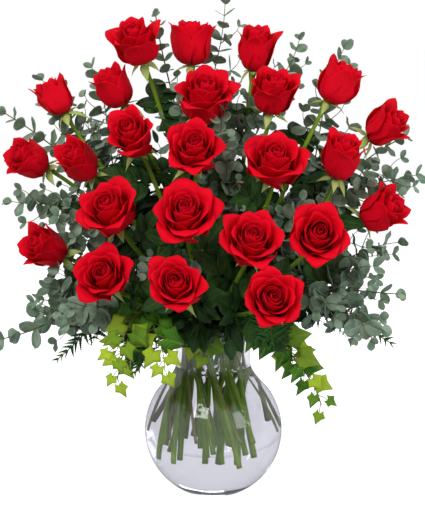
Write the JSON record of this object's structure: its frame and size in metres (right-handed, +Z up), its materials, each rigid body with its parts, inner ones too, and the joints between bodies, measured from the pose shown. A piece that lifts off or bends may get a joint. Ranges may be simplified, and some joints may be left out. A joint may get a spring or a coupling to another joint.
{
  "type": "red rose arrangement in a glass vase",
  "caption": "Round clear glass vase of water holding a tall, front-facing fan of long-stemmed red roses among eucalyptus, ivy, fern and salal foliage.",
  "frame": {"origin": "centre of the vase's flat foot, on the surface it stands on", "axes": "+Z up along the vase's axis, -Y towards the side the roses face, +X to that viewer's right"},
  "size_m": [0.542, 0.3824, 0.6375],
  "materials": {
    "petals": "velvety, slightly waxy",
    "rose_stem": "smooth green bark",
    "silver_leaf": "waxy, silver green",
    "salal_leaf": "glossy, dark green",
    "fern_leaf": "leathery, deep green",
    "ivy_leaf": "smooth, bright green",
    "glass": "clear, polished",
    "water": "clear liquid"
  },
  "bodies": {
    "root": {"rose_01_bloom": "petals", "rose_01_stem": "rose_stem", "rose_02_bloom": "petals", "rose_02_stem": "rose_stem", "rose_03_bloom": "petals", "rose_03_stem": "rose_stem", "rose_04_bloom": "petals", "rose_04_stem": "rose_stem", "rose_05_bloom": "petals", "rose_05_stem": "rose_stem", "rose_06_bloom": "petals", "rose_06_stem": "rose_stem", "rose_07_bloom": "petals", "rose_07_stem": "rose_stem", "rose_08_bloom": "petals", "rose_08_stem": "rose_stem", "rose_09_bloom": "petals", "rose_09_stem": "rose_stem", "rose_10_bloom": "petals", "rose_10_stem": "rose_stem", "rose_11_bloom": "petals", "rose_11_stem": "rose_stem", "rose_12_bloom": "petals", "rose_12_stem": "rose_stem", "rose_13_bloom": "petals", "rose_13_stem": "rose_stem", "rose_14_bloom": "petals", "rose_14_stem": "rose_stem", "rose_15_bloom": "petals", "rose_15_stem": "rose_stem", "rose_16_bloom": "petals", "rose_16_stem": "rose_stem", "rose_17_bloom": "petals", "rose_17_stem": "rose_stem", "rose_18_bloom": "petals", "rose_18_stem": "rose_stem", "rose_19_bloom": "petals", "rose_19_stem": "rose_stem", "rose_20_bloom": "petals", "rose_20_stem": "rose_stem", "rose_21_bloom": "petals", "rose_21_stem": "rose_stem", "rose_22_bloom": "petals", "rose_22_stem": "rose_stem", "rose_23_bloom": "petals", "rose_23_stem": "rose_stem", "rose_24_bloom": "petals", "rose_24_stem": "rose_stem", "eucalyptus_left_low": "silver_leaf", "eucalyptus_left": "silver_leaf", "eucalyptus_top": "silver_leaf", "eucalyptus_right": "silver_leaf", "eucalyptus_right_low": "silver_leaf", "salal": "salal_leaf", "fern_left": "fern_leaf", "fern_right": "fern_leaf", "ivy_left": "ivy_leaf", "ivy_right": "ivy_leaf", "vase": "glass", "water": "water"}
  },
  "joints": []
}
